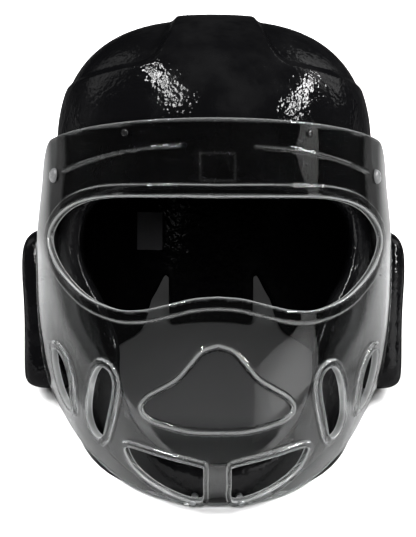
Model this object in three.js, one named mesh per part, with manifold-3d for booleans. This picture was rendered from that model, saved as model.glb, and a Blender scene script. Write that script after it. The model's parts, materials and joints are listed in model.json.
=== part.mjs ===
// Full-face sparring head guard: a shell of dipped foam with ear pods, and a clear moulded face shield
// held to the foam by studs at the temples and screws at the chin. Millimetres, +Z up.
//
// The pieces are drawn as worn on a level head, with X to the wearer's left, Y to the back and Z up.
// The whole guard is then tipped back on to its flat lower rim, which is how it stands on a table.

import * as THREE from "three";
import { mergeVertices } from "three/addons/utils/BufferGeometryUtils.js";
import Module from "manifold-3d";

const wasm = await Module();
wasm.setup();

// Driving dimensions of the whole guard
const restTilt = THREE.MathUtils.degToRad(25);
const rimPoint = { y: -112, z: -137.3 };
const middleY = 14;
const pieceGap = 0.3;
const reach = 400;
const weldDistance = 1e-4;

// Straight steps along each smooth outline: fine enough to look round, coarse enough to stay light
const outlineSteps = { face: 24, notch: 4, pod: 28, eye: 28, mouth: 16, rib: 6, slot: 14 };

// Foam shell: outline of the outside at each height, below the dome
const foamWall = 19;
const foamSections = [
  { z: -160, halfWidth: 52, front: -98, rear: 90 },
  { z: -137, halfWidth: 64, front: -107, rear: 97 },
  { z: -118, halfWidth: 73, front: -114.5, rear: 102 },
  { z: -90, halfWidth: 85, front: -119, rear: 108 },
  { z: -55, halfWidth: 97.5, front: -117, rear: 114 },
  { z: -20, halfWidth: 103.5, front: -110, rear: 120 },
  { z: 20, halfWidth: 105, front: -102, rear: 125 },
  { z: 70, halfWidth: 102.5, front: -98.5, rear: 126 },
];
const dome = { baseZ: 70, height: 93, sidePower: 2.6, lengthPower: 2.25 };
const ovalPower = 2.1;
const foamRounds = { around: 48, domeRows: 9, sideRows: 8 };
const cavityRounds = { around: 36, domeRows: 7, sideRows: 6 };

// Scoops beside the raised strip on the crown, as seen from the front
const scoop = { frontDepth: 6, sideDepth: 1, rearDepth: 5, topDepth: 3.5 };
const scoopOutline = [[27, 200], [28, 159], [31, 142], [35.5, 131], [44, 122], [63, 117], [83, 114],
  [140, 106], [140, 200]];

// Openings in the foam, half outlines from the middle line outwards
const faceOpening = [[0, 46], [50, 45], [74, 38], [81, 20], [78, 0], [66, -22], [57, -45], [56, -66],
  [47, -90], [28, -107], [0, -112]];
const faceOpeningDepth = 4;
const rearNotch = { inner: 30, waist: 42, waistZ: -22, outer: 58, apexZ: -3, bottomZ: -75, round: 3,
  nearY: 60 };

// Ear pods: side outline as Y and Z, and how far they stand out
const earPod = { outerX: 122, innerX: 68, edgeRound: 10, roundSteps: 3, rimClearance: 3 };
const earPodOutline = [[-6, -40], [-5, -66], [5, -79], [24, -73], [48, -61], [64, -46], [70, -20], [62, 6],
  [42, 19], [22, 23], [4, 15], [-5, -8]];

// Face shield: full oval at each height, cut short at the ears
const shieldThickness = 2.8;
const shieldRearY = -13;
const shieldSections = [
  { z: -146, halfWidth: 83, front: -103 },
  { z: -130, halfWidth: 85.5, front: -115.5 },
  { z: -118, halfWidth: 87.5, front: -121.5 },
  { z: -105, halfWidth: 91.5, front: -126 },
  { z: -92, halfWidth: 97, front: -128.5 },
  { z: -80, halfWidth: 103.5, front: -129.5 },
  { z: -65, halfWidth: 109, front: -129.5 },
  { z: -45, halfWidth: 112.5, front: -127 },
  { z: -20, halfWidth: 115, front: -120 },
  { z: 25, halfWidth: 115, front: -110 },
  { z: 57, halfWidth: 112.2, front: -104.5 },
  { z: 80, halfWidth: 111, front: -102 },
  { z: 100, halfWidth: 110, front: -100 },
];
const shieldTop = { middleZ: 87.5, sideDrop: 9, cornerDrop: 12, cornerFrom: 0.86 };
const shieldGrid = { across: 30, down: 18 };
const shieldRimLift = 1;

// Relief on the shield: how far it stands out, and half outlines seen from the front
const relief = { height: 1.4, root: 1.4, eyeBead: 6.2, slotBead: 4, ventBead: 3, mouthLine: 3.2,
  frameLine: 2 };
const eyeOpening = [[0, 41], [36, 41.5], [68, 41.5], [86, 36.5], [96.5, 26], [98.5, 15], [91, 0], [76, -16],
  [58, -23.5], [43, -23.8], [28, -20.5], [14, -17.2], [0, -16]];
const mouthOutline = [[0, -43.5], [8.5, -46.5], [15.5, -54], [23, -62.5], [32, -68], [40, -73], [43.5, -79],
  [40.5, -84.5], [32, -88], [16, -91.5], [0, -92]];
const chinVent = [[8, -112.5], [30, -107.5], [49, -103], [53, -104], [49, -113], [35, -124], [18, -131.5],
  [8, -132.5]];
const foreheadRib = [[22, 72], [45, 70.6], [68, 67], [93, 60.5]];
const foreheadRibWidth = 2.6;
const browFrame = { halfWidth: 10, topZ: 66.5, bottomZ: 50.5 };

// Breathing slots in the cheeks: middle of each, and its outline across and up the sheet
const cheekSlots = [
  { x: 69.5, z: -78, outline: [[-9.5, 21], [-4.5, 18], [0, 12.5], [5.4, 4.7], [11.5, -3.7], [17, -11.5],
    [17.5, -18], [12, -21.5], [5, -19], [-2, -12], [-9, -4.5], [-15, 4], [-18, 12.5], [-16, 18.5]] },
  { x: 91, z: -67, outline: [[9.5, 17.5], [11.5, 10.5], [11.5, 3], [12, -5], [11, -13], [6, -17.5], [0, -14],
    [-5, -7.5], [-8.2, -0.5], [-8.2, 6], [-5, 12], [2, 17]] },
];

// Fasteners: place on the shield, height of the relief under the head, and radii of the head, shank,
// collar and pin
const templeStud = { name: "temple_stud", x: 99, z: 57, seatHeight: 0, head: 4.6, dome: 2.6, shank: 2.4,
  collar: 5, pin: 2, pinLength: 8 };
const chinScrew = { name: "chin_screw", x: 13.5, z: -132.6, seatHeight: relief.height, head: 1.9, dome: 1.1,
  shank: 1, collar: 1.9, pin: 1, pinLength: 9 };
const fastenerSides = 10;
const headProfile = [[1, 0], [0.94, 0.45], [0.66, 0.85], [0, 1]];

// Label patch on the rear inner wall
const labelPatch = { left: -52, right: -34.5, bottomZ: 13, topZ: 39.5, thickness: 0.7 };

// Turns a closed geometry into a solid that can be joined and cut.
function solidFrom(geometry) {
  const bare = geometry.clone();
  bare.deleteAttribute("normal");
  bare.deleteAttribute("uv");
  const welded = mergeVertices(bare, weldDistance);
  return new wasm.Manifold(new wasm.Mesh({
    numProp: 3,
    vertProperties: new Float32Array(welded.attributes.position.array),
    triVerts: new Uint32Array(welded.index.array),
  }));
}

function indexedGeometry(points, triangles) {
  const geometry = new THREE.BufferGeometry();
  geometry.setAttribute("position", new THREE.Float32BufferAttribute(points.flat(), 3));
  geometry.setIndex(triangles);
  return geometry;
}

function meshFrom(solid, name, material) {
  const { vertProperties, triVerts } = solid.getMesh();
  const geometry = new THREE.BufferGeometry();
  geometry.setAttribute("position", new THREE.BufferAttribute(vertProperties, 3));
  geometry.setIndex(new THREE.BufferAttribute(triVerts, 1));
  geometry.computeVertexNormals();
  const mesh = new THREE.Mesh(geometry, material);
  mesh.name = name;
  return mesh;
}

function joined(solids) {
  return solids.reduce((whole, solid) => whole.add(solid));
}

// A smooth reading of a table of sections at any height between its rows.
function sectionReader(sections, columns) {
  const heights = sections.map((section) => section.z);
  const values = sections.flatMap((section) => columns.map((column) => section[column]));
  const curve = new THREE.CubicInterpolant(heights, values, columns.length);
  return (z) => {
    const read = curve.evaluate(THREE.MathUtils.clamp(z, heights[0], heights.at(-1)));
    return Object.fromEntries(columns.map((column, place) => [column, read[place]]));
  };
}

const foamAt = sectionReader(foamSections, ["halfWidth", "front", "rear"]);
const shieldAt = sectionReader(shieldSections, ["halfWidth", "front"]);

// One level oval of the foam, grown by a margin on each side.
function foamOval(z, shape) {
  const side = foamAt(Math.min(z, dome.baseZ));
  const rise = Math.max(0, z - dome.baseZ) / (dome.height + shape.top);
  const narrowed = (power) => Math.pow(Math.max(0, 1 - Math.pow(rise, power)), 1 / power);
  return {
    z,
    halfWidth: (side.halfWidth + shape.side) * narrowed(dome.sidePower),
    front: (middleY - side.front + shape.front) * narrowed(dome.lengthPower),
    rear: (side.rear - middleY + shape.rear) * narrowed(dome.lengthPower),
  };
}

function evenMargin(margin) {
  return { side: margin, front: margin, rear: margin, top: margin };
}

function ovalPoint(oval, angle) {
  const across = Math.sign(Math.sin(angle)) * Math.pow(Math.abs(Math.sin(angle)), 2 / ovalPower);
  const along = Math.sign(Math.cos(angle)) * Math.pow(Math.abs(Math.cos(angle)), 2 / ovalPower);
  const depth = along > 0 ? oval.front : oval.rear;
  return [oval.halfWidth * across, middleY - depth * along, oval.z];
}

// A closed body of level ovals with a domed top, following the foam with a margin.
function foamBody(shape, rounds, bottomZ) {
  const heights = [];
  for (let row = 0; row < rounds.sideRows; row += 1) {
    heights.push(THREE.MathUtils.lerp(bottomZ, dome.baseZ, row / rounds.sideRows));
  }
  for (let row = 0; row < rounds.domeRows; row += 1) {
    const lean = (row / rounds.domeRows) * Math.PI / 2;
    heights.push(dome.baseZ + (dome.height + shape.top) * Math.pow(Math.sin(lean), 2 / dome.lengthPower));
  }
  const points = [];
  for (const z of heights) {
    const oval = foamOval(z, shape);
    for (let step = 0; step < rounds.around; step += 1) {
      points.push(ovalPoint(oval, (step / rounds.around) * 2 * Math.PI));
    }
  }
  const foot = points.push([0, middleY, bottomZ]) - 1;
  const crown = points.push([0, middleY, dome.baseZ + dome.height + shape.top]) - 1;
  const triangles = [];
  for (let row = 0; row < heights.length; row += 1) {
    for (let step = 0; step < rounds.around; step += 1) {
      const next = (step + 1) % rounds.around;
      const a = row * rounds.around + step;
      const b = row * rounds.around + next;
      if (row === 0) triangles.push(foot, b, a);
      if (row === heights.length - 1) {
        triangles.push(a, b, crown);
      } else {
        triangles.push(a, b, b + rounds.around, a, b + rounds.around, a + rounds.around);
      }
    }
  }
  return solidFrom(indexedGeometry(points, triangles));
}

// Everything below a plane that lies the given height above the lower rim.
function belowRim(height) {
  const box = new THREE.BoxGeometry(2 * reach, 2 * reach, reach);
  box.translate(0, 0, height - reach / 2);
  box.rotateX(restTilt);
  box.translate(0, rimPoint.y, rimPoint.z);
  return solidFrom(box);
}

function smoothOutline(corners, steps, closed) {
  if (!closed) {
    return new THREE.SplineCurve(corners.map(([x, z]) => new THREE.Vector2(x, z))).getPoints(steps);
  }
  const loop = new THREE.CatmullRomCurve3(corners.map(([x, z]) => new THREE.Vector3(x, z, 0)), true);
  return loop.getPoints(steps).slice(0, -1).map((point) => new THREE.Vector2(point.x, point.y));
}

// A whole outline from its half on the wearer's left, both ends on the middle line.
function mirrored(half) {
  const otherSide = half.slice(1, -1).reverse().map((point) => new THREE.Vector2(-point.x, point.y));
  return [...half, ...otherSide];
}

function oneSide(outline, side) {
  return outline.map((point) => new THREE.Vector2(point.x * side, point.y));
}

// The outline moved outwards by a distance, each point along the mean of its two edge normals.
function grown(outline, distance) {
  const turn = THREE.ShapeUtils.isClockWise(outline) ? -1 : 1;
  return outline.map((point, place) => {
    const before = outline.at(place - 1);
    const after = outline[(place + 1) % outline.length];
    const along = after.clone().sub(before).normalize();
    return new THREE.Vector2(point.x + along.y * distance * turn, point.y - along.x * distance * turn);
  });
}

// A bar with the given front outline, from one depth to another.
function frontBar(outline, nearY, farY) {
  const depth = farY - nearY;
  const bar = new THREE.ExtrudeGeometry(new THREE.Shape(outline), { depth, bevelEnabled: false });
  bar.rotateX(Math.PI / 2);
  bar.translate(0, farY, 0);
  return solidFrom(bar);
}

// A bar square to the shield at a point on it, with its outline across and up the sheet.
function sheetBar(outline, seat, length) {
  const bar = new THREE.ExtrudeGeometry(new THREE.Shape(outline), { depth: length, bevelEnabled: false });
  bar.translate(0, 0, -length / 2);
  bar.rotateX(Math.PI / 2);
  bar.rotateZ(Math.atan2(seat.normal.x, -seat.normal.y));
  bar.translate(seat.point.x, seat.point.y, seat.point.z);
  return solidFrom(bar);
}

// Point on the outside of the shield, from one rear edge (-1) to the other (1) at a height.
function shieldPoint(across, z) {
  const section = shieldAt(z);
  const depth = middleY - section.front;
  const angle = across * Math.acos((middleY - shieldRearY) / depth);
  return new THREE.Vector3(section.halfWidth * Math.sin(angle), middleY - depth * Math.cos(angle), z);
}

function shieldNormal(across, z) {
  const step = 0.01;
  const sideways = shieldPoint(across + step, z).sub(shieldPoint(across - step, z));
  const upwards = shieldPoint(across, z + 1).sub(shieldPoint(across, z - 1));
  return sideways.cross(upwards).normalize();
}

// Seat on the shield at a distance from the middle line and a height.
function shieldSeat(x, z) {
  const section = shieldAt(z);
  const depth = middleY - section.front;
  const widest = Math.acos((middleY - shieldRearY) / depth);
  const across = Math.asin(x / section.halfWidth) / widest;
  return { point: shieldPoint(across, z), normal: shieldNormal(across, z) };
}

function shieldTopZ(across) {
  const corner = Math.max(0, (Math.abs(across) - shieldTop.cornerFrom) / (1 - shieldTop.cornerFrom));
  return shieldTop.middleZ - shieldTop.sideDrop * across ** 2 - shieldTop.cornerDrop * corner ** 3;
}

// The shield's sheet between two distances from its outside face.
function shieldSheet(outside, inside) {
  const columns = shieldGrid.across + 1;
  const rows = shieldGrid.down + 1;
  const bottomZ = shieldSections[0].z;
  const points = [];
  for (const offset of [outside, inside]) {
    for (let row = 0; row < rows; row += 1) {
      for (let column = 0; column < columns; column += 1) {
        const across = (2 * column) / shieldGrid.across - 1;
        const z = THREE.MathUtils.lerp(bottomZ, shieldTopZ(across), row / shieldGrid.down);
        const point = shieldPoint(across, z).addScaledVector(shieldNormal(across, z), offset);
        points.push(point.toArray());
      }
    }
  }
  const triangles = [];
  const quad = (a, b, c, d) => triangles.push(a, b, c, a, c, d);
  const layer = rows * columns;
  for (let row = 0; row < rows - 1; row += 1) {
    for (let column = 0; column < columns - 1; column += 1) {
      const a = row * columns + column;
      quad(a, a + 1, a + columns + 1, a + columns);
      quad(a + layer, a + layer + columns, a + layer + columns + 1, a + layer + 1);
    }
    const first = row * columns;
    const last = first + columns - 1;
    quad(first, first + columns, first + columns + layer, first + layer);
    quad(last, last + layer, last + columns + layer, last + columns);
  }
  for (let column = 0; column < columns - 1; column += 1) {
    const top = (rows - 1) * columns + column;
    quad(column, column + layer, column + layer + 1, column + 1);
    quad(top, top + 1, top + 1 + layer, top + layer);
  }
  return solidFrom(indexedGeometry(points, triangles));
}

// How far it is from a seat on the shield, straight in, to the outside of the foam.
function depthToFoam(seat) {
  const inside = (depth) => {
    const point = seat.point.clone().addScaledVector(seat.normal, -depth);
    const oval = foamOval(point.z, evenMargin(0));
    const length = point.y < middleY ? oval.front : oval.rear;
    const across = Math.abs(point.x) / oval.halfWidth;
    const along = Math.abs(point.y - middleY) / length;
    return across ** ovalPower + along ** ovalPower <= 1;
  };
  let near = 0;
  let far = foamWall * 2;
  while (far - near > 0.01) {
    const half = (near + far) / 2;
    if (inside(half)) far = half;
    else near = half;
  }
  return far;
}

// A round piece on the axis of a seat, from pairs of radius and distance out from the shield's face.
function turnedOnSeat(profile, seat) {
  const lathe = new THREE.LatheGeometry(profile.map(([r, h]) => new THREE.Vector2(r, h)), fastenerSides);
  const turn = new THREE.Quaternion().setFromUnitVectors(new THREE.Vector3(0, 1, 0), seat.normal);
  lathe.applyQuaternion(turn);
  lathe.translate(seat.point.x, seat.point.y, seat.point.z);
  return solidFrom(lathe);
}

// A fastener with a domed head outside the shield, a collar that spans the space behind it and a pin
// in the foam.
function fastener(kind, seat) {
  const foam = depthToFoam(seat);
  const collarTop = -shieldThickness - pieceGap;
  const collarFoot = pieceGap - foam;
  const headFoot = pieceGap + kind.seatHeight;
  return turnedOnSeat([
    [0, -foam - kind.pinLength],
    [kind.pin, -foam - kind.pinLength],
    [kind.pin, collarFoot],
    [kind.collar, collarFoot],
    [kind.collar, collarTop],
    [kind.shank, collarTop],
    [kind.shank, headFoot],
    ...headProfile.map(([radius, rise]) => [kind.head * radius, headFoot + kind.dome * rise]),
  ], seat);
}

function fastenerHole(radius, from, to, seat) {
  return turnedOnSeat([[0, from], [radius, from], [radius, to], [0, to]], seat);
}

const sides = [["left", 1], ["right", -1]];
const fasteners = [templeStud, chinScrew].flatMap((kind) => sides.map(([word, side]) => {
  const seat = shieldSeat(kind.x * side, kind.z);
  return { kind, seat, name: `${kind.name}_${word}`, foam: depthToFoam(seat) };
}));

function makeFoamShell() {
  const outside = foamBody(evenMargin(0), foamRounds, foamSections[0].z);
  const scoopFloor = foamBody({ side: -scoop.sideDepth, front: -scoop.frontDepth, rear: -scoop.rearDepth,
    top: -scoop.topDepth }, foamRounds, foamSections[0].z);
  const scoops = joined(sides.map(([, side]) => {
    const outline = scoopOutline.map(([x, z]) => new THREE.Vector2(x * side, z));
    return frontBar(outline, -reach, reach);
  }));
  const cavity = foamBody(evenMargin(-foamWall), cavityRounds, foamSections[0].z - foamWall);
  const faceOutline = mirrored(smoothOutline(faceOpening, outlineSteps.face, false));
  const face = frontBar(faceOutline, -reach, faceOpeningDepth);
  const notches = joined(sides.map(([, side]) => {
    const { inner, waist, waistZ, outer, apexZ, bottomZ, round } = rearNotch;
    const outline = new THREE.Shape();
    outline.moveTo(inner, bottomZ);
    outline.lineTo(inner, apexZ - round);
    outline.quadraticCurveTo(inner, apexZ, inner + round, apexZ - round);
    outline.quadraticCurveTo(waist - round, waistZ + round, waist, waistZ);
    outline.lineTo(outer, bottomZ);
    return frontBar(oneSide(outline.getPoints(outlineSteps.notch), side), rearNotch.nearY, reach);
  }));
  const holes = joined(fasteners.map(({ kind, seat, foam }) => (
    fastenerHole(kind.pin + pieceGap, -foam - kind.pinLength - pieceGap, shieldThickness - foam, seat)
  )));
  return outside.subtract(scoops.subtract(scoopFloor)).subtract(cavity).subtract(face).subtract(notches)
    .subtract(belowRim(0)).subtract(holes);
}

function makeEarPod(side) {
  const outline = oneSide(smoothOutline(earPodOutline, outlineSteps.pod, true), side);
  const pad = new THREE.ExtrudeGeometry(new THREE.Shape(outline), {
    depth: earPod.outerX - earPod.innerX - 2 * earPod.edgeRound,
    bevelThickness: earPod.edgeRound,
    bevelSize: earPod.edgeRound,
    bevelOffset: -earPod.edgeRound,
    bevelSegments: earPod.roundSteps,
  });
  pad.translate(0, 0, earPod.innerX + earPod.edgeRound);
  pad.applyMatrix4(new THREE.Matrix4().makeBasis(
    new THREE.Vector3(0, side, 0),
    new THREE.Vector3(0, 0, 1),
    new THREE.Vector3(side, 0, 0),
  ));
  const seat = foamBody(evenMargin(pieceGap), foamRounds, foamSections[0].z);
  return solidFrom(pad).subtract(seat).subtract(belowRim(earPod.rimClearance));
}

function makeFaceShield() {
  const eye = mirrored(smoothOutline(eyeOpening, outlineSteps.eye, false));
  const mouth = mirrored(smoothOutline(mouthOutline, outlineSteps.mouth, false));
  const { halfWidth, topZ, bottomZ } = browFrame;
  const frame = [[halfWidth, topZ], [-halfWidth, topZ], [-halfWidth, bottomZ], [halfWidth, bottomZ]]
    .map(([x, z]) => new THREE.Vector2(x, z));
  const front = (outline) => frontBar(outline, -reach, middleY);
  const line = (outline, width) => (
    front(grown(outline, width / 2)).subtract(front(grown(outline, -width / 2)))
  );
  const beads = [
    front(grown(eye, relief.eyeBead)),
    line(mouth, relief.mouthLine),
    line(frame, relief.frameLine),
  ];
  const holes = [front(eye)];
  for (const [, side] of sides) {
    const vent = chinVent.map(([x, z]) => new THREE.Vector2(x * side, z));
    beads.push(front(grown(vent, relief.ventBead)));
    holes.push(front(vent));
    const rib = smoothOutline(foreheadRib, outlineSteps.rib, false);
    const lowered = rib.map((point) => new THREE.Vector2(point.x, point.y - foreheadRibWidth));
    beads.push(front(oneSide([...rib, ...lowered.reverse()], side)));
    for (const slot of cheekSlots) {
      const seat = shieldSeat(slot.x * side, slot.z);
      const outline = oneSide(smoothOutline(slot.outline, outlineSteps.slot, true), side);
      beads.push(sheetBar(grown(outline, relief.slotBead), seat, 2 * foamWall));
      holes.push(sheetBar(outline, seat, 2 * foamWall));
    }
  }
  for (const { kind, seat } of fasteners) {
    holes.push(fastenerHole(kind.shank + pieceGap, -2 * shieldThickness, 2 * shieldThickness, seat));
  }
  const raised = shieldSheet(relief.height, -relief.root).intersect(joined(beads));
  return shieldSheet(0, -shieldThickness).add(raised).subtract(joined(holes))
    .subtract(belowRim(shieldRimLift));
}

function makeLabel() {
  const { left, right, bottomZ, topZ, thickness } = labelPatch;
  const outline = [[left, bottomZ], [right, bottomZ], [right, topZ], [left, topZ]]
    .map(([x, z]) => new THREE.Vector2(x, z));
  const wallFace = foamBody(evenMargin(-foamWall - pieceGap), cavityRounds, foamSections[0].z);
  const labelFace = foamBody(evenMargin(-foamWall - pieceGap - thickness), cavityRounds, foamSections[0].z);
  return wallFace.subtract(labelFace).intersect(frontBar(outline, rearNotch.nearY, reach));
}

const dippedFoam = new THREE.MeshStandardMaterial({ color: 0x0b0b0d, roughness: 0.22, metalness: 0 });
const clearSheet = new THREE.MeshStandardMaterial({ color: 0xe8ecec, roughness: 0.06, metalness: 0,
  transparent: true, opacity: 0.25 });
const studPlastic = new THREE.MeshStandardMaterial({ color: 0xd8dad8, roughness: 0.25, metalness: 0 });
const screwSteel = new THREE.MeshStandardMaterial({ color: 0xa8abad, roughness: 0.35, metalness: 0.9 });
const labelCloth = new THREE.MeshStandardMaterial({ color: 0x2a2a2c, roughness: 0.8, metalness: 0 });

const worn = new THREE.Group();
worn.add(meshFrom(makeFoamShell(), "foam_shell", dippedFoam));
worn.add(meshFrom(makeFaceShield(), "face_shield", clearSheet));
worn.add(meshFrom(makeLabel(), "inner_label", labelCloth));
for (const [word, side] of sides) {
  worn.add(meshFrom(makeEarPod(side), `ear_pod_${word}`, dippedFoam));
}
for (const { kind, seat, name } of fasteners) {
  worn.add(meshFrom(fastener(kind, seat), name, kind === templeStud ? studPlastic : screwSteel));
}

// Tip the guard on to its rim, with the middle of its footprint at the origin.
worn.rotation.x = -restTilt;
const guard = new THREE.Group();
guard.add(worn);
const box = new THREE.Box3().setFromObject(guard, true);
worn.position.y = -(box.min.y + box.max.y) / 2;
worn.position.z = -box.min.z;

export default guard;
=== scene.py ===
# Head guard of dipped foam with a clear face shield, standing on its lower rim
import json
import math

import bpy
import numpy as np
from mathutils import Matrix, Vector
from mathutils.geometry import delaunay_2d_cdt

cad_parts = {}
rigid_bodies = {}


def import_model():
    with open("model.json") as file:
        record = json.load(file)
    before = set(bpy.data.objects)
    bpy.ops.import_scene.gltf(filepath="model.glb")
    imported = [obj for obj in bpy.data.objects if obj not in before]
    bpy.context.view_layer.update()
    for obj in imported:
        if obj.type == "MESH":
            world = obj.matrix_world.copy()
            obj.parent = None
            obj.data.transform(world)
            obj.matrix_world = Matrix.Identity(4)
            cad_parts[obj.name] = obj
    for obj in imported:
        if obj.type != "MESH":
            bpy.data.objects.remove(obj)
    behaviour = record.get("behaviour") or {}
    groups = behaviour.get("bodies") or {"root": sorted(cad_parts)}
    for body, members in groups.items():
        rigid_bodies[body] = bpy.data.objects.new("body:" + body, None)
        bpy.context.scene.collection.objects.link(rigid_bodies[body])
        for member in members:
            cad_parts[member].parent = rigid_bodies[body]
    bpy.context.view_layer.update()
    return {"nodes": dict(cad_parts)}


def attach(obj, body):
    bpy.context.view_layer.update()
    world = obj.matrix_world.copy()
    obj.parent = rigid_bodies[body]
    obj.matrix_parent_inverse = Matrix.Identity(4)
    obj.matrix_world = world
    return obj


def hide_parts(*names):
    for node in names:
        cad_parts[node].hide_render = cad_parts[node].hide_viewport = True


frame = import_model()
print("frame loaded, nodes:", sorted(frame["nodes"]))

# The guard is drawn as worn on a level head, in millimetres, and then leaned back on its rim
stand = {
    "tilt": math.radians(25),
    "shift": (0.0, 3.818, 77.103),
    "middleY": 14.0,
    "pieceGap": 0.3,
}


def turnToRow(vectors):
    v = np.asarray(vectors, float)
    c, s = math.cos(stand["tilt"]), math.sin(stand["tilt"])
    return np.stack((v[..., 0], v[..., 1] * c + v[..., 2] * s, v[..., 2] * c - v[..., 1] * s), -1)


def toRow(points):
    return (turnToRow(points) + np.array(stand["shift"])) / 1000


# Height above the surface that the rim stands on
def aboveRim(x, y, z):
    c, s = math.cos(stand["tilt"]), math.sin(stand["tilt"])
    return z * c - y * s + stand["shift"][2]


# Small tools for smooth forms
def smoothStep(low, high, value):
    t = np.clip((value - low) / (high - low), 0, 1)
    return t * t * (3 - 2 * t)


def smoothMax(a, b, width):
    near = np.maximum(width - np.abs(a - b), 0) / width
    return np.maximum(a, b) + near * near * width / 4


def smoothMin(a, b, width):
    return -smoothMax(-a, -b, width)


def readSections(rows):
    table = np.array(rows, float)
    heights = table[:, 0]
    slopes = np.gradient(table[:, 1:], heights, axis=0)

    def read(z):
        z = np.clip(z, heights[0], heights[-1])
        row = np.clip(np.searchsorted(heights, z, side="right") - 1, 0, len(heights) - 2)
        span = heights[row + 1] - heights[row]
        t = (z - heights[row]) / span
        found = []
        for column in range(table.shape[1] - 1):
            a, b = table[row, column + 1], table[row + 1, column + 1]
            leave, arrive = slopes[row, column] * span, slopes[row + 1, column] * span
            rise = 3 * (b - a) - 2 * leave - arrive
            ease = 2 * (a - b) + leave + arrive
            found.append(a + t * (leave + t * (rise + t * ease)))
        return found
    return read


# A smooth line through a few corners
def smoothLine(corners, steps, closed=False):
    p = np.array(corners, float)
    if closed:
        p = np.concatenate((p[-1:], p, p[:2]))
    else:
        p = np.concatenate((2 * p[:1] - p[1:2], p, 2 * p[-1:] - p[-2:-1]))
    pieces = []
    t = np.linspace(0, 1, steps, endpoint=False)[:, None]
    for k in range(len(p) - 3):
        a, b, c, d = p[k:k + 4]
        pieces.append(b + 0.5 * t * (c - a + t * (2 * a - 5 * b + 4 * c - d + t * (3 * b - a - 3 * c + d))))
    if not closed:
        pieces.append(p[-2:-1])
    return np.concatenate(pieces)


def bothSides(half):
    mirrored = half[1:-1][::-1] * np.array([-1, 1])
    return np.concatenate((half, mirrored))


def cutCorners(outline, times):
    for _ in range(times):
        after = np.roll(outline, -1, axis=0)
        outline = np.stack((0.75 * outline + 0.25 * after, 0.25 * outline + 0.75 * after), 1).reshape(-1, 2)
    return outline


def evenSteps(line, step, closed=True):
    if closed:
        line = np.concatenate((line, line[:1]))
    run = np.concatenate(([0], np.cumsum(np.linalg.norm(np.diff(line, axis=0), axis=1))))
    count = max(3, int(round(run[-1] / step)))
    places = np.linspace(0, run[-1], count + 1)
    if closed:
        places = places[:-1]
    return np.stack([np.interp(places, run, line[:, k]) for k in range(2)], 1)


# Distance from an outline in the plane, negative inside a closed one
def outlineDistance(outline, x, z, closed=True):
    x, z = np.broadcast_arrays(np.asarray(x, float), np.asarray(z, float))
    best = np.full(x.shape, 1e9)
    inside = np.zeros(x.shape, bool)
    ends = np.roll(outline, -1, axis=0) if closed else outline[1:]
    for (ax, az), (bx, bz) in zip(outline, ends):
        ex, ez = bx - ax, bz - az
        px, pz = x - ax, z - az
        t = np.clip((px * ex + pz * ez) / max(ex * ex + ez * ez, 1e-12), 0, 1)
        best = np.minimum(best, (px - t * ex) ** 2 + (pz - t * ez) ** 2)
        if closed:
            crosses = (az > z) != (bz > z)
            inside ^= crosses & (px < ex * pz / (ez if abs(ez) > 1e-12 else 1e-12))
    return np.where(inside, -1, 1) * np.sqrt(best) if closed else np.sqrt(best)


def makePiece(name, points, faces, material, normals=None):
    mesh = bpy.data.meshes.new(name)
    mesh.from_pydata(points.tolist(), [], faces.tolist() if hasattr(faces, "tolist") else faces)
    mesh.validate()
    mesh.polygons.foreach_set("use_smooth", [True] * len(mesh.polygons))
    if normals is not None:
        mesh.normals_split_custom_set_from_vertices(normals.tolist())
    mesh.materials.append(material)
    mesh.update()
    piece = bpy.data.objects.new(name, mesh)
    bpy.context.scene.collection.objects.link(piece)
    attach(piece, "root")
    return piece


# Shader wiring: a wire is one socket, and sums and products of wires add Math nodes
class Wire:
    def __init__(self, tree, socket=None):
        self.tree = tree
        self.socket = socket

    def node(self, kind, settings, inputs, output=0):
        made = self.tree.nodes.new(kind)
        for key, value in settings.items():
            setattr(made, key, value)
        for key, value in inputs.items():
            if isinstance(value, Wire):
                self.tree.links.new(value.socket, made.inputs[key])
            else:
                made.inputs[key].default_value = value
        return Wire(self.tree, made.outputs[output])

    def math(self, operation, first, second):
        return self.node("ShaderNodeMath", {"operation": operation}, {0: first, 1: second})

    def __add__(self, other):
        return self.math("ADD", self, other)

    def __radd__(self, other):
        return self.math("ADD", other, self)

    def __sub__(self, other):
        return self.math("SUBTRACT", self, other)

    def __rsub__(self, other):
        return self.math("SUBTRACT", other, self)

    def __mul__(self, other):
        return self.math("MULTIPLY", self, other)

    def __rmul__(self, other):
        return self.math("MULTIPLY", other, self)

    def __pow__(self, other):
        return self.math("POWER", self, other)

    def band(self, low, high):
        inputs = {"Value": self, "From Min": low, "From Max": high}
        return self.node("ShaderNodeMapRange", {"interpolation_type": "SMOOTHSTEP"}, inputs)

    def blend(self, first, second):
        settings = {"data_type": "RGBA"}
        return self.node("ShaderNodeMix", settings, {"Factor": self, 6: first, 7: second}, 2)

    def noise(self, place, scale, detail=2.0, roughness=0.5):
        inputs = {"Vector": place, "Scale": scale, "Detail": detail, "Roughness": roughness}
        return self.node("ShaderNodeTexNoise", {}, inputs)


# A new material: its start wire, the object's own coordinates and the surface shader
def startFinish(name, fixed):
    material = bpy.data.materials.new(name)
    material.use_nodes = True
    tree = material.node_tree
    shader = tree.nodes["Principled BSDF"]
    for key, value in fixed.items():
        shader.inputs[key].default_value = value
    wire = Wire(tree)
    place = wire.node("ShaderNodeTexCoord", {}, {}, "Object")
    return material, wire, place, shader


def feed(shader, wires):
    for key, wire in wires.items():
        wire.tree.links.new(wire.socket, shader.inputs[key])


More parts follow.
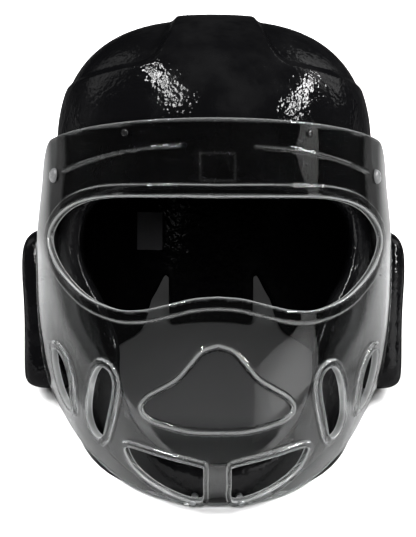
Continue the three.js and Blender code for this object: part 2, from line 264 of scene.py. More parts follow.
dippedSkin = {
    "dark": (0.003, 0.003, 0.0034, 1),
    "worn": (0.007, 0.007, 0.0074, 1),
    "roughLow": 0.06,
    "roughSpan": 0.08,
    "grainScale": 300.0,
    "pitScale": 800.0,
    "lumpScale": 100.0,
    "patchScale": 24.0,
    "patchBand": (0.42, 0.7),
    "grainShare": 0.6,
    "pitShare": 0.12,
    "lumpShare": 0.6,
    "grainDepth": 0.0008,
    "grainStrength": 0.85,
    "ior": 1.24,
    "edgeBand": (0.42, 0.74),
    "edgeFade": 0.95,
    "edgeRough": 0.6,
}


def dippedSkinFinish():
    d = dippedSkin
    material, wire, place, shader = startFinish("dipped_skin", {"IOR": d["ior"]})
    grain = wire.noise(place, d["grainScale"], 1.0, 0.5)
    pits = wire.noise(place, d["pitScale"], 1.0, 0.5)
    lumps = wire.noise(place, d["lumpScale"], 2.0, 0.5)
    patches = wire.noise(place, d["patchScale"], 4.0, 0.6)
    wear = patches.band(*d["patchBand"])
    relief = grain * d["grainShare"] + pits * d["pitShare"] + lumps * d["lumpShare"]
    bumped = wire.node("ShaderNodeBump", {}, {
        "Height": relief, "Strength": d["grainStrength"], "Distance": d["grainDepth"]})
    shade = wear.blend(d["dark"], d["worn"])
    feed(shader, {
        "Base Color": shade,
        "Roughness": wear * d["roughSpan"] + d["roughLow"],
        "Normal": bumped,
    })
    # the skin's gloss fades where it turns away
    turned = wire.node("ShaderNodeLayerWeight", {}, {"Blend": 0.5}, "Facing")
    faded = turned.band(*d["edgeBand"]) * d["edgeFade"]
    dull = wire.node("ShaderNodeBsdfPrincipled", {}, {
        "Base Color": shade, "Roughness": d["edgeRough"], "Specular IOR Level": 0.0})
    glossy = Wire(wire.tree, shader.outputs[0])
    both = wire.node("ShaderNodeMixShader", {}, {0: faded, 1: glossy, 2: dull})
    wire.tree.links.new(both.socket, wire.tree.nodes["Material Output"].inputs["Surface"])
    return material


clearSheet = {
    "tint": (0.95, 0.965, 0.97, 1),
    "hazed": (0.91, 0.93, 0.93, 1),
    "smoky": (0.04, 0.042, 0.042, 1),
    "roughLow": 0.02,
    "roughSpan": 0.05,
    # colours of the white painted highlight on edges, beads and lines
    "glintFrostDark": (0.44, 0.45, 0.45, 1),
    "glintFrostPale": (0.6, 0.61, 0.61, 1),
    "glintFrostRough": 0.3,
    "ior": 1.47,
    "smudgeScale": 38.0,
    "rubScale": 420.0,
}


def clearSheetFinish():
    c = clearSheet
    fixed = {"IOR": c["ior"], "Transmission Weight": 1.0}
    material, wire, place, shader = startFinish("clear_sheet", fixed)
    smudges = wire.noise(place, c["smudgeScale"], 4.0, 0.62).band(0.45, 0.75)
    rubs = wire.noise(place, c["rubScale"], 3.0, 0.7).band(0.55, 0.8)
    # the wings at the temples are tinted dark
    smoke = wire.node("ShaderNodeAttribute", {"attribute_name": "smoke"}, {}, "Fac")
    feed(shader, {
        "Base Color": smoke.blend(smudges.blend(c["tint"], c["hazed"]), c["smoky"]),
        "Roughness": (smudges * 0.7 + rubs * 0.3) * c["roughSpan"] + c["roughLow"],
    })
    # cut edges, beads and lines are painted white: a painted highlight for the light they catch, with some
    # rubbed white plastic on the cut edges
    frost_glint = wire.node("ShaderNodeAttribute", {"attribute_name": "frost_glint"}, {}, "Fac")
    frostAndGlint = frost_glint * (rubs * 0.35 + 0.75)
    shade = rubs.blend(c["glintFrostPale"], c["glintFrostDark"])
    white = wire.node("ShaderNodeBsdfPrincipled", {}, {
        "Base Color": shade, "Roughness": c["glintFrostRough"], "IOR": c["ior"]})
    clear = Wire(wire.tree, shader.outputs[0])
    both = wire.node("ShaderNodeMixShader", {}, {0: frostAndGlint, 1: clear, 2: white})
    wire.tree.links.new(both.socket, wire.tree.nodes["Material Output"].inputs["Surface"])
    return material


def studFinish():
    material, wire, place, shader = startFinish("stud_plastic", {"IOR": 1.49, "Coat Weight": 0.2})
    speckle = wire.noise(place, 900.0, 2.0)
    feed(shader, {
        "Base Color": speckle.blend((0.14, 0.14, 0.145, 1), (0.2, 0.205, 0.205, 1)),
        "Roughness": speckle * 0.12 + 0.2,
    })
    return material


def pinFinish():
    material, wire, place, shader = startFinish("pin_plastic", {"IOR": 1.49})
    speckle = wire.noise(place, 1200.0, 2.0)
    feed(shader, {
        "Base Color": speckle.blend((0.006, 0.006, 0.006, 1), (0.014, 0.014, 0.014, 1)),
        "Roughness": speckle * 0.14 + 0.14,
    })
    return material


def screwFinish():
    material, wire, place, shader = startFinish("screw_steel", {"Metallic": 1.0})
    scuffs = wire.noise(place, 1500.0, 3.0, 0.7)
    feed(shader, {
        "Base Color": scuffs.blend((0.42, 0.43, 0.44, 1), (0.62, 0.63, 0.64, 1)),
        "Roughness": scuffs * 0.2 + 0.25,
    })
    return material


def labelFinish():
    material, wire, place, shader = startFinish("label_cloth", {"Sheen Weight": 0.25})
    settings = {"wave_type": "BANDS", "bands_direction": "X"}
    warp = wire.node("ShaderNodeTexWave", settings, {"Vector": place, "Scale": 420.0, "Distortion": 0.6})
    settings = {"wave_type": "BANDS", "bands_direction": "Z"}
    weft = wire.node("ShaderNodeTexWave", settings, {"Vector": place, "Scale": 420.0, "Distortion": 0.6})
    weave = warp * weft
    bumped = wire.node("ShaderNodeBump", {}, {"Height": weave, "Strength": 0.6, "Distance": 0.0002})
    feed(shader, {
        "Base Color": weave.blend((0.07, 0.07, 0.075, 1), (0.15, 0.15, 0.155, 1)),
        "Roughness": weave * 0.1 + 0.75,
        "Normal": bumped,
    })
    return material


dippedFinish = dippedSkinFinish()
sheetFinish = clearSheetFinish()
print("finishes made")

# Foam shell: half width, front and rear of the outside at each height, then a dome
foamShell = {
    "sections": [
        (-160, 52, -98, 90),
        (-137, 64, -107, 97),
        (-118, 73, -114.5, 102),
        (-90, 85, -119, 108),
        (-55, 97.5, -117, 114),
        (-20, 103.5, -110, 120),
        (20, 106, -102, 125),
        (45, 105.5, -100, 125.6),
        (60, 103.2, -99.1, 125.9),
        (70, 101.8, -98.5, 126),
    ],
    "domeBase": 70.0,
    "domeHeight": 93.0,
    "sidePower": 2.6,
    "lengthPower": 2.25,
    "ovalPower": 2.1,
    "wall": 19.0,
    "scoopDepth": {"front": 7.0, "rear": 5.5, "side": 1.2, "top": 3.2},
    "scoopInner": {"half": 25.0, "flare": 10.0, "below": 160.0, "reach": 30.0, "power": 1.5},
    "scoopFoot": {"z": 123.0, "fall": 0.14, "fromX": 42.0},
    "scoopBlend": 7.0,
    "scoopEdge": (-1.8, 2.8),
    "scoopSpan": {"along": 112.0, "across": 100.0},
    "faceHalf": [(0, 46), (50, 45), (74, 38), (81, 20), (78, 0), (66, -22), (57, -45), (56, -66),
                 (47, -90), (28, -107), (0, -112)],
    "faceDepth": 4.0,
    "faceRound": 9.0,
    "notch": [(30, -78), (30, -7), (31, -3.5), (33.5, -6), (38.5, -16), (42, -22), (58.5, -78)],
    "notchFrom": 60.0,
    "rimRound": 5.0,
    "step": 2.4,
}
foamAt = readSections(foamShell["sections"])
faceOutline = bothSides(smoothLine(foamShell["faceHalf"], 6))


# One on the foam's outside, less within it
def foamFullness(x, y, z, inset):
    f = foamShell
    halfWidth, front, rear = foamAt(np.minimum(z, f["domeBase"]))
    along = y - stand["middleY"]
    depth = np.where(along < 0, stand["middleY"] - front, rear - stand["middleY"]) - inset
    across = np.abs(x / (halfWidth - inset)) ** f["ovalPower"]
    lengthways = np.abs(along / depth) ** f["ovalPower"]
    level = across + lengthways
    share = lengthways / np.maximum(level, 1e-9)
    power = f["sidePower"] + (f["lengthPower"] - f["sidePower"]) * share
    rise = np.maximum(z - f["domeBase"], 0) / (f["domeHeight"] - inset)
    return (level ** (power / f["ovalPower"]) + rise ** power) ** (1 / power)


def foamDistance(x, y, z, inset=0.0):
    e = 0.4
    here = foamFullness(x, y, z, inset)
    gx = foamFullness(x + e, y, z, inset) - foamFullness(x - e, y, z, inset)
    gy = foamFullness(x, y + e, z, inset) - foamFullness(x, y - e, z, inset)
    gz = foamFullness(x, y, z + e, inset) - foamFullness(x, y, z - e, inset)
    return (here - 1) * 2 * e / np.maximum(np.sqrt(gx * gx + gy * gy + gz * gz), 1e-4)


# How deep the scoops beside the crown strip are at each place
def scoopDepth(x, y, z):
    f = foamShell
    depths, edge, foot, span = f["scoopDepth"], f["scoopInner"], f["scoopFoot"], f["scoopSpan"]
    below = np.maximum(0, edge["below"] - z) / edge["reach"]
    inner = edge["half"] + edge["flare"] * below ** edge["power"]
    footZ = foot["z"] - foot["fall"] * (np.abs(x) - foot["fromX"])
    within = smoothMin(np.abs(x) - inner, z - footZ, f["scoopBlend"])
    along = (y - stand["middleY"]) / span["along"]
    side = (np.abs(x) / span["across"]) ** 2
    top = (np.maximum(z - f["domeBase"], 0) / f["domeHeight"]) ** 2
    ends = np.where(along < 0, depths["front"], depths["rear"])
    parts = along ** 2 * ends + side * depths["side"] + top * depths["top"]
    return parts / (along ** 2 + side + top + 1e-6) * smoothStep(*f["scoopEdge"], within)


def foamField(x, y, z):
    f = foamShell
    outside = foamDistance(x, y, z) + scoopDepth(x, y, z)
    body = smoothMax(outside, -foamDistance(x, y, z, f["wall"]), 6.0)
    face = smoothMax(outlineDistance(faceOutline, x, z), y - f["faceDepth"], 4.0)
    body = smoothMax(body, -face, f["faceRound"])
    notch = np.maximum(outlineDistance(np.array(f["notch"], float), np.abs(x), z), f["notchFrom"] - y)
    body = smoothMax(body, -notch, 5.0)
    return smoothMax(body, -aboveRim(x, y, z), f["rimRound"])


# A skin over a field: a point in each cell that the surface crosses, a face across each cut grid edge
def skinOver(field, low, high, step):
    axes = [np.arange(a, b + step, step) for a, b in zip(low, high)]
    values = field(axes[0][:, None, None], axes[1][None, :, None], axes[2][None, None, :])
    values = np.ascontiguousarray(np.broadcast_to(values, [len(a) for a in axes]))
    inside = values < 0
    corners = [(i, j, k) for i in (0, 1) for j in (0, 1) for k in (0, 1)]
    shape = [n - 1 for n in values.shape]

    def corner(grid, c):
        return grid[tuple(slice(o, o + n) for o, n in zip(c, shape))]
    filled = sum(corner(inside, c).astype(np.int8) for c in corners)
    crossed = (filled > 0) & (filled < 8)
    cells = np.argwhere(crossed)
    total = np.zeros((len(cells), 3))
    count = np.zeros(len(cells))
    for c in corners:
        for axis in range(3):
            if c[axis]:
                continue
            d = tuple(o + (axis == k) for k, o in enumerate(c))
            a, b = corner(values, c)[crossed], corner(values, d)[crossed]
            cut = (a < 0) != (b < 0)
            place = np.array(c, float) * np.ones((len(cells), 1))
            place[:, axis] = np.where(cut, a / np.where(cut, a - b, 1), 0)
            total += place * cut[:, None]
            count += cut
    points = np.array(low) + (cells + total / count[:, None]) * step
    number = np.full(shape, -1)
    number[crossed] = np.arange(len(cells))
    faces = []
    for axis in range(3):
        b, c = (axis + 1) % 3, (axis + 2) % 3
        near = np.moveaxis(inside, (axis, b, c), (0, 1, 2))
        ids = np.moveaxis(number, (axis, b, c), (0, 1, 2))
        changes = near[:-1, 1:-1, 1:-1] != near[1:, 1:-1, 1:-1]
        i, j, k = np.nonzero(changes)
        quad = np.stack((ids[i, j, k], ids[i, j + 1, k], ids[i, j + 1, k + 1], ids[i, j, k + 1]), 1)
        leaving = near[:-1, 1:-1, 1:-1][i, j, k]
        quad[~leaving] = quad[~leaving][:, ::-1]
        faces.append(quad)
    return points, np.concatenate(faces)


def fieldSlope(field, p):
    e = 0.25
    x, y, z = p.T
    return np.stack((
        field(x + e, y, z) - field(x - e, y, z),
        field(x, y + e, z) - field(x, y - e, z),
        field(x, y, z + e) - field(x, y, z - e),
    ), 1) / (2 * e)


# Evens out the faces and sets every point on the surface itself
def settleSkin(field, points, faces, rounds, step):
    edges = np.concatenate([np.stack((faces[:, k], faces[:, (k + 1) % 4]), 1) for k in range(4)])
    ties = np.bincount(edges.ravel(), minlength=len(points))[:, None]
    for _ in range(rounds):
        middle = np.zeros_like(points)
        for k in range(3):
            sums = np.bincount(edges[:, 0], points[edges[:, 1], k], len(points))
            sums += np.bincount(edges[:, 1], points[edges[:, 0], k], len(points))
            middle[:, k] = sums
        points = points + 0.5 * (middle / ties - points)
        for _ in range(2):
            slope = fieldSlope(field, points)
            size = (slope ** 2).sum(1, keepdims=True)
            move = field(*points.T)[:, None] * slope / np.maximum(size, 0.05)
            length = np.linalg.norm(move, axis=1, keepdims=True)
            points = points - move * np.minimum(1, step / np.maximum(length, 1e-9))
    slope = fieldSlope(field, points)
    return points, slope / np.maximum(np.linalg.norm(slope, axis=1, keepdims=True), 1e-9)


def makeFoamPiece(name, node, field, low, high, step):
    points, faces = skinOver(field, low, high, step)
    points, normals = settleSkin(field, points, faces, 3, step)
    piece = makePiece(name, toRow(points), faces, dippedFinish, turnToRow(normals))
    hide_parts(node)
    print(name, "faces:", len(faces))


low, high = (-109, -124, -142), (109, 131, 168)
makeFoamPiece("foam_shell_skin", "foam_shell", foamField, low, high, foamShell["step"])

# Ear pods: outline seen from the side, as back and up
earPod = {
    "outline": [(-6, -40), (-5, -66), (5, -79), (24, -73), (48, -61), (64, -46), (70, -20), (62, 8),
                (42, 21.5), (22, 25.5), (4, 17.5), (-5, -8)],
    "outerX": 122.0,
    "swell": 2.4,
    "swellZ": 6.0,
    "swellReach": 26.0,
    "edgeRound": 14.0,
    "rimClearance": 3.0,
    "step": 2.0,
}
podOutline = smoothLine(earPod["outline"], 5, closed=True)


def podField(x, y, z):
    swell = earPod["swell"] * np.exp(-((z - earPod["swellZ"]) / earPod["swellReach"]) ** 2)
    face = np.abs(x) - earPod["outerX"] - swell
    pad = smoothMax(outlineDistance(podOutline, y, z), face, earPod["edgeRound"])
    pad = smoothMax(pad, stand["pieceGap"] - foamDistance(x, y, z), 2.5)
    return smoothMax(pad, earPod["rimClearance"] - aboveRim(x, y, z), 7.0)


for side, word in ((1, "left"), (-1, "right")):
    low, high = (64, -18, -92), (128, 82, 36)
    if side < 0:
        low, high = (-128, low[1], low[2]), (-64, high[1], high[2])
    makeFoamPiece("ear_pod_skin_" + word, "ear_pod_" + word, podField, low, high, earPod["step"])

# Face shield: half width and front of the whole oval at each height, cut short at the ears
faceShield = {
    "sections": [
        (-146, 83, -103),
        (-130, 85.5, -115.5),
        (-118, 87.5, -121.5),
        (-105, 91.5, -126),
        (-92, 97, -128.5),
        (-80, 103.5, -129.5),
        (-65, 109, -129.5),
        (-45, 112.5, -127),
        (-20, 115, -120),
        (25, 115, -110),
        (57, 112.2, -104.5),
        (80, 111, -102),
        (100, 110, -100),
    ],
    "thickness": 2.8,
    "rearY": -13.0,
    "topZ": 87.5,
    "sideDrop": 9.0,
    "cornerDrop": 12.0,
    "cornerFrom": 0.86,
    "rimLift": 1.0,
    "relief": 1.4,
    "edgeRound": 0.9,
    "unroll": 115.0,
    "fine": 1.3,
    "eyeHalf": [(0, 41), (36, 41.5), (68, 41.5), (87.5, 36.8), (99, 26.5), (101.5, 15), (93.5, -0.5),
                (77, -16), (58, -23.5), (43, -23.8), (28, -20.5), (14, -17.2), (0, -16)],
    "mouthHalf": [(0, -43.5), (8.5, -46.5), (15.5, -54), (23, -62.5), (32, -68), (40, -73), (43.5, -79),
                  (40.5, -84.5), (32, -88), (16, -91.5), (0, -92)],
    "vent": [(8, -122), (8, -114.2), (10, -112), (30, -107.5), (46, -103.7), (51.8, -103.2), (52.3, -106.2),
             (47, -115), (35, -124), (20, -130.8), (11, -132.6), (8, -130.6)],
    "rib": [(22, 70.7), (45, 69.3), (68, 65.7), (93, 59.2)],
    "browFrame": [(10, 66.5), (-10, 66.5), (-10, 50.5), (10, 50.5)],
    "slots": [
        (69.5, -78, [(-9.5, 21), (-4.5, 18), (0, 12.5), (5.4, 4.7), (11.5, -3.7), (17, -11.5), (17.5, -18),
                     (12, -21.5), (5, -19), (-2, -12), (-9, -4.5), (-15, 4), (-18, 12.5), (-16, 18.5)]),
        (91, -67, [(9.5, 17.5), (11.5, 10.5), (11.5, 3), (12, -5), (11, -13), (6, -17.5), (0, -14),
                   (-5, -7.5), (-8.2, -0.5), (-8.2, 6), (-5, 12), (2, 17)]),
    ],
    "eyeBead": 6.6,
    "slotBead": 4.2,
    "ventBead": 3.2,
    "lineWidth": 2.4,
    "frameWidth": 1.6,
    "ribWidth": 1.4,
    "frameRelief": 0.2,
    "ribRelief": 0.5,
    # painted highlight and rubbing about each kind of line: strength and reach, and the strength on each
    # kind of cut wall
    "frostAndGlint": {
        "border": (0.5, 0.7), "edge": (0.7, 0.6), "slope": (0.42, 0.5), "mouth": (0.48, 0.7),
        "frame": (0.02, 0.7), "rib": (0.12, 0.7), "inside": (0.8, 0.7),
    },
    "wallFrostAndGlint": {"border": 0.3, "eye": 0.2, "vent": 0.12, "slot": 0.5},
    "smokeAcross": (0.62, 0.8),
    "smokeUp": (2.0, 26.0),
}
shieldAt = readSections(faceShield["sections"])


# The sheet is laid out flat: u runs round it, z up it
def shieldFace(u, z):
    halfWidth, front = shieldAt(z)
    angle = u / faceShield["unroll"]
    depth = stand["middleY"] - front
    return np.stack((halfWidth * np.sin(angle), stand["middleY"] - depth * np.cos(angle), z + 0 * u), -1)


def shieldNormal(u, z):
    e = 0.3
    across = shieldFace(u + e, z) - shieldFace(u - e, z)
    upwards = shieldFace(u, z + e) - shieldFace(u, z - e)
    n = np.cross(across, upwards)
    return n / np.linalg.norm(n, axis=-1, keepdims=True)


def laidFlat(outline):
    x, z = np.asarray(outline, float).T
    return np.stack((faceShield["unroll"] * np.arcsin(x / shieldAt(z)[0]), z), 1)


def rearLimit(z):
    share = (stand["middleY"] - faceShield["rearY"]) / (stand["middleY"] - shieldAt(z)[1])
    return faceShield["unroll"] * np.arccos(share)


def shieldTop(u):
    across = np.abs(u) / rearLimit(np.full(np.shape(u), 78.0))
    corner = np.maximum(0, (across - faceShield["cornerFrom"]) / (1 - faceShield["cornerFrom"]))
    sideZ = faceShield["topZ"] - faceShield["sideDrop"] * across ** 2
    return sideZ - faceShield["cornerDrop"] * corner ** 3


def shieldFoot(u):
    z = np.full(np.shape(u), -125.0)
    c, s = math.cos(stand["tilt"]), math.sin(stand["tilt"])
    for _ in range(60):
        y = shieldFace(u, z)[..., 1]
        z = 0.5 * z + 0.5 * (faceShield["rimLift"] - stand["shift"][2] + y * s) / c
    return z


def shieldBorder():
    zLow = -90.0
    for _ in range(40):
        zLow = float(shieldFoot(np.array([float(rearLimit(np.array(zLow)))]))[0])
    zHigh = 66.0
    for _ in range(40):
        zHigh = float(shieldTop(np.array([float(rearLimit(np.array(zHigh)))]))[0])
    low, high = float(rearLimit(np.array(zLow))), float(rearLimit(np.array(zHigh)))
    footU = np.linspace(-low, low, 260)
    sideZ = np.linspace(zLow, zHigh, 130)
    topU = np.linspace(high, -high, 260)
    loop = np.concatenate((
        np.stack((footU, shieldFoot(footU)), 1)[:-1],
        np.stack((rearLimit(sideZ), sideZ), 1)[:-1],
        np.stack((topU, shieldTop(topU)), 1)[:-1],
        np.stack((-rearLimit(sideZ), sideZ), 1)[::-1][:-1],
    ))
    return evenSteps(cutCorners(loop, 2), 1.2)


def slotOutline(x, z, corners, side):
    halfWidth, front = [float(v) for v in shieldAt(np.array(float(z)))]
    angle = math.asin(x / halfWidth)
    perAngle = math.hypot(halfWidth * math.cos(angle), (stand["middleY"] - front) * math.sin(angle))
    line = smoothLine(corners, 8, closed=True)
    u = faceShield["unroll"] * (angle + line[:, 0] / perAngle)
    return np.stack((side * u, z + line[:, 1]), 1)


s = faceShield
border = shieldBorder()
eyeLine = evenSteps(laidFlat(bothSides(smoothLine(s["eyeHalf"], 10))), 1.1)
holes = [(eyeLine, s["eyeBead"], s["wallFrostAndGlint"]["eye"])]
for side in (1, -1):
    mirror = np.array([side, 1])
    vent = smoothLine(s["vent"], 6, closed=True)
    holes.append((evenSteps(laidFlat(vent) * mirror, 1.1), s["ventBead"], s["wallFrostAndGlint"]["vent"]))
    for x, z, corners in s["slots"]:
        line = evenSteps(slotOutline(x, z, corners, side), 1.1)
        holes.append((line, s["slotBead"], s["wallFrostAndGlint"]["slot"]))
mouthLine = evenSteps(laidFlat(bothSides(smoothLine(s["mouthHalf"], 8))), 1.1)
frameLine = evenSteps(laidFlat(cutCorners(evenSteps(np.array(s["browFrame"], float), 2.0), 1)), 1.2)
ribLine = evenSteps(laidFlat(smoothLine(s["rib"], 8)), 1.3, closed=False)
ribLines = [ribLine * np.array([side, 1]) for side in (1, -1)]


def lift(distance, reach, slope=1.5):
    return s["relief"] * (1 - smoothStep(reach - 0.3 * slope, reach + 0.7 * slope, distance))


# How far the outside stands off the plain sheet: beads, lines and ribs, with the cut edges rounded
def shieldRelief(u, z):
    height = np.zeros(np.shape(u))
    edge = -outlineDistance(border, u, z)
    for outline, bead, wall in holes:
        distance = outlineDistance(outline, u, z)
        height = np.maximum(height, lift(distance, bead))
        edge = np.minimum(edge, distance)
    mouth = np.abs(outlineDistance(mouthLine, u, z))
    height = np.maximum(height, lift(mouth, s["lineWidth"] / 2, 1.3))
    brow = np.abs(outlineDistance(frameLine, u, z))
    height = np.maximum(height, s["frameRelief"] * lift(brow, s["frameWidth"] / 2, 1.2))
    for rib in ribLines:
        distance = outlineDistance(rib, u, z, closed=False)
        height = np.maximum(height, s["ribRelief"] * lift(distance, s["ribWidth"] / 2, 1.0))
    turn = np.clip(1 - edge / s["edgeRound"], 0, 1)
    return height - s["edgeRound"] * (1 - np.sqrt(1 - turn * turn))


# Strength and reach of the painted highlight and rubbing about a line
def frostGlintBy(kind, distance):
    strength, reach = s["frostAndGlint"][kind]
    return strength * np.exp(-(distance / reach) ** 2)


# How much painted highlight and rubbing the outside has: most on cut edges, less on the beads' outer slopes
# and the lines
def shieldFrostGlint(u, z):
    frost_glint = frostGlintBy("border", -outlineDistance(border, u, z))
    for outline, bead, wall in holes:
        distance = outlineDistance(outline, u, z)
        frost_glint = np.maximum(frost_glint, frostGlintBy("edge", distance))
        frost_glint = np.maximum(frost_glint, frostGlintBy("slope", distance - bead - 0.4))
    frost_glint = np.maximum(frost_glint, frostGlintBy("mouth", np.abs(outlineDistance(mouthLine, u, z))))
    frost_glint = np.maximum(frost_glint, frostGlintBy("frame", np.abs(outlineDistance(frameLine, u, z))))
    for rib in ribLines:
        frost_glint = np.maximum(frost_glint, frostGlintBy("rib", outlineDistance(rib, u, z, closed=False)))
    return frost_glint


def shieldOutside(u, z):
    return shieldFace(u, z) + shieldNormal(u, z) * shieldRelief(u, z)[..., None]


def nearestLine(u, z):
    best = np.abs(outlineDistance(border, u, z))
    for outline, bead, wall in holes:
        best = np.minimum(best, np.abs(outlineDistance(outline, u, z)))
    return best


# A row of points beside a line in the flat layout
def rowBeside(line, distance, closed=True):
    if closed:
        along = np.roll(line, -1, axis=0) - np.roll(line, 1, axis=0)
        x, z = line.T
        turn = np.sign(np.sum(x * np.roll(z, -1) - z * np.roll(x, -1)))
    else:
        along = np.gradient(line, axis=0)
        turn = 1
    along = along / np.linalg.norm(along, axis=1, keepdims=True)
    return line + np.stack((along[:, 1], -along[:, 0]), 1) * turn * distance


# Points over the flat layout: rows along edges and relief, a fine grid near them, a coarse one elsewhere
def shieldLayout():
    points = []
    links = []
    start = 0
    for loop in [border] + [outline for outline, bead, wall in holes]:
        count = len(loop)
        points.append(loop)
        links += [(start + k, start + (k + 1) % count) for k in range(count)]
        start += count
    rows = [(rowBeside(border, -d), 0.85 * d) for d in (0.25, 0.8)]
    for outline, bead, wall in holes:
        for d in (0.25, 0.8, bead - 0.8, bead - 0.2, bead + 0.4, bead + 1.0, bead + 1.6):
            rows.append((rowBeside(outline, d), 0.85 * d))
    for d in (-2.0, -1.3, -0.65, 0.0, 0.65, 1.3, 2.0):
        rows.append((rowBeside(mouthLine, d), 1.0))
        rows.append((rowBeside(frameLine, 0.7 * d), 1.0))
        rows += [(rowBeside(rib, 0.6 * d, closed=False), 1.0) for rib in ribLines]
    for row, least in rows:
        keep = (nearestLine(*row.T) > least) & (outlineDistance(border, *row.T) < 0)
        points.append(row[keep])
    fine = s["fine"]
    lowest, highest = border.min(0), border.max(0)
    zs = np.arange(lowest[1], highest[1], fine * 0.866)
    us = np.arange(lowest[0], highest[0], fine)
    u, z = np.meshgrid(us, zs)
    u = u + (np.arange(len(zs)) % 2)[:, None] * fine / 2
    coarse = ((np.arange(len(zs)) % 4 == 0)[:, None] & (np.arange(len(us)) % 2 == 0)[None, :])
    coarse |= ((np.arange(len(zs)) % 4 == 2)[:, None] & (np.arange(len(us)) % 2 == 1)[None, :])
    u, z, coarse = u.ravel(), z.ravel(), coarse.ravel()
    inside = outlineDistance(border, u, z) < -1.3
    reach = np.full(u.shape, 99.0)
    for outline, bead, wall in holes:
        distance = outlineDistance(outline, u, z)
        inside &= distance > 1.3
        reach = np.minimum(reach, distance - bead)
    for outline, closed in [(mouthLine, True), (frameLine, True)] + [(rib, False) for rib in ribLines]:
        reach = np.minimum(reach, np.abs(outlineDistance(outline, u, z, closed)) - 1.5)
    keep = inside & (coarse | (reach < 3.0))
    points.append(np.stack((u[keep], z[keep]), 1))
    return np.concatenate(points), links


# The layout's triangles, turned to face out, without those in the openings
def shieldTriangles():
    flat, links = shieldLayout()
    flatPoints = [Vector(p) for p in flat.tolist()]
    found = delaunay_2d_cdt(flatPoints, links, [], 0, 1e-5, False)
    flat = np.array([tuple(p) for p in found[0]])
    tris = np.array([t for t in found[2] if len(t) == 3])
    middle = flat[tris].mean(1)
    keep = outlineDistance(border, *middle.T) < 0
    for outline, bead, wall in holes:
        keep &= outlineDistance(outline, *middle.T) > 0
    tris = tris[keep]
    used = np.unique(tris)
    number = np.full(len(flat), -1)
    number[used] = np.arange(len(used))
    flat, tris = flat[used], number[tris]
    a, b, c = flat[tris[:, 0]], flat[tris[:, 1]], flat[tris[:, 2]]
    turned = (b[:, 0] - a[:, 0]) * (c[:, 1] - a[:, 1]) < (b[:, 1] - a[:, 1]) * (c[:, 0] - a[:, 0])
    tris[turned] = tris[turned][:, ::-1]
    return flat, tris


# A closed sheet: outside, inside and the walls between them along every cut edge
def makeShield():
    flat, tris = shieldTriangles()
    u, z = flat.T
    base, square = shieldFace(u, z), shieldNormal(u, z)
    outer = base + square * shieldRelief(u, z)[:, None]
    inner = base - square * s["thickness"]
    e = 0.15
    outerNormal = np.cross(shieldOutside(u + e, z) - shieldOutside(u - e, z),
                           shieldOutside(u, z + e) - shieldOutside(u, z - e))
    outerNormal /= np.linalg.norm(outerNormal, axis=1, keepdims=True)
    count = len(flat)
    sides = np.concatenate([tris[:, [0, 1]], tris[:, [1, 2]], tris[:, [2, 0]]])
    key = np.minimum(sides[:, 0], sides[:, 1]) * count + np.maximum(sides[:, 0], sides[:, 1])
    _, first, times = np.unique(key, return_index=True, return_counts=True)
    rim = sides[first[times == 1]]
    edge = np.unique(rim)
    step = np.full(count, -1)
    step[edge] = np.arange(len(edge))
    third = (inner[edge] - outer[edge]) / 3
    points = np.concatenate((outer, inner, outer[edge] + third, outer[edge] + 2 * third))
    a, b = rim[:, 1], rim[:, 0]
    wallNormal = np.cross(outer[b] - outer[a], inner[a] - outer[a])
    atPoint = np.zeros((count, 3))
    np.add.at(atPoint, a, wallNormal)
    np.add.at(atPoint, b, wallNormal)
    atPoint /= np.maximum(np.linalg.norm(atPoint, axis=1, keepdims=True), 1e-9)
    ranks = [(a, b)]
    for start in (2 * count, 2 * count + len(edge)):
        ranks.append((start + step[a], start + step[b]))
    ranks.append((a + count, b + count))
    walls = np.concatenate([np.stack((p, q, r, t), 1) for (p, q), (t, r) in zip(ranks[:-1], ranks[1:])])
    wallLoops = np.tile(np.stack((atPoint[a], atPoint[b], atPoint[b], atPoint[a]), 1), (3, 1, 1))
    faces = tris.tolist() + (tris[:, ::-1] + count).tolist() + walls.tolist()
    piece = makePiece("face_shield_sheet", toRow(points), faces, sheetFinish)
    loops = np.concatenate((
        outerNormal[tris].reshape(-1, 3),
        -square[tris[:, ::-1]].reshape(-1, 3),
        wallLoops.reshape(-1, 3),
    ))
    piece.data.normals_split_custom_set(turnToRow(loops).tolist())
    # painted highlight and rubbing on the outside, the inside and the cut walls, kept on the points
    frost_glint = piece.data.attributes.new("frost_glint", "FLOAT", "POINT")
    onInside = frostGlintBy("inside", nearestLine(u, z))
    onWall = np.full(len(edge), s["wallFrostAndGlint"]["border"])
    for outline, bead, wall in holes:
        onWall[np.abs(outlineDistance(outline, *flat[edge].T)) < 0.2] = wall
    frostAndGlint = np.concatenate((shieldFrostGlint(u, z), onInside, onWall, onWall))
    frost_glint.data.foreach_set("value", frostAndGlint.astype(np.float32))
    smoke = piece.data.attributes.new("smoke", "FLOAT", "POINT")
    wing = smoothStep(*s["smokeAcross"], np.abs(u) / rearLimit(z)) * smoothStep(*s["smokeUp"], z)
    tinted = np.concatenate((wing, wing, wing[edge], wing[edge]))
    smoke.data.foreach_set("value", tinted.astype(np.float32))
    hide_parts("face_shield")
    print("shield triangles:", 2 * len(tris) + 2 * len(walls))


makeShield()

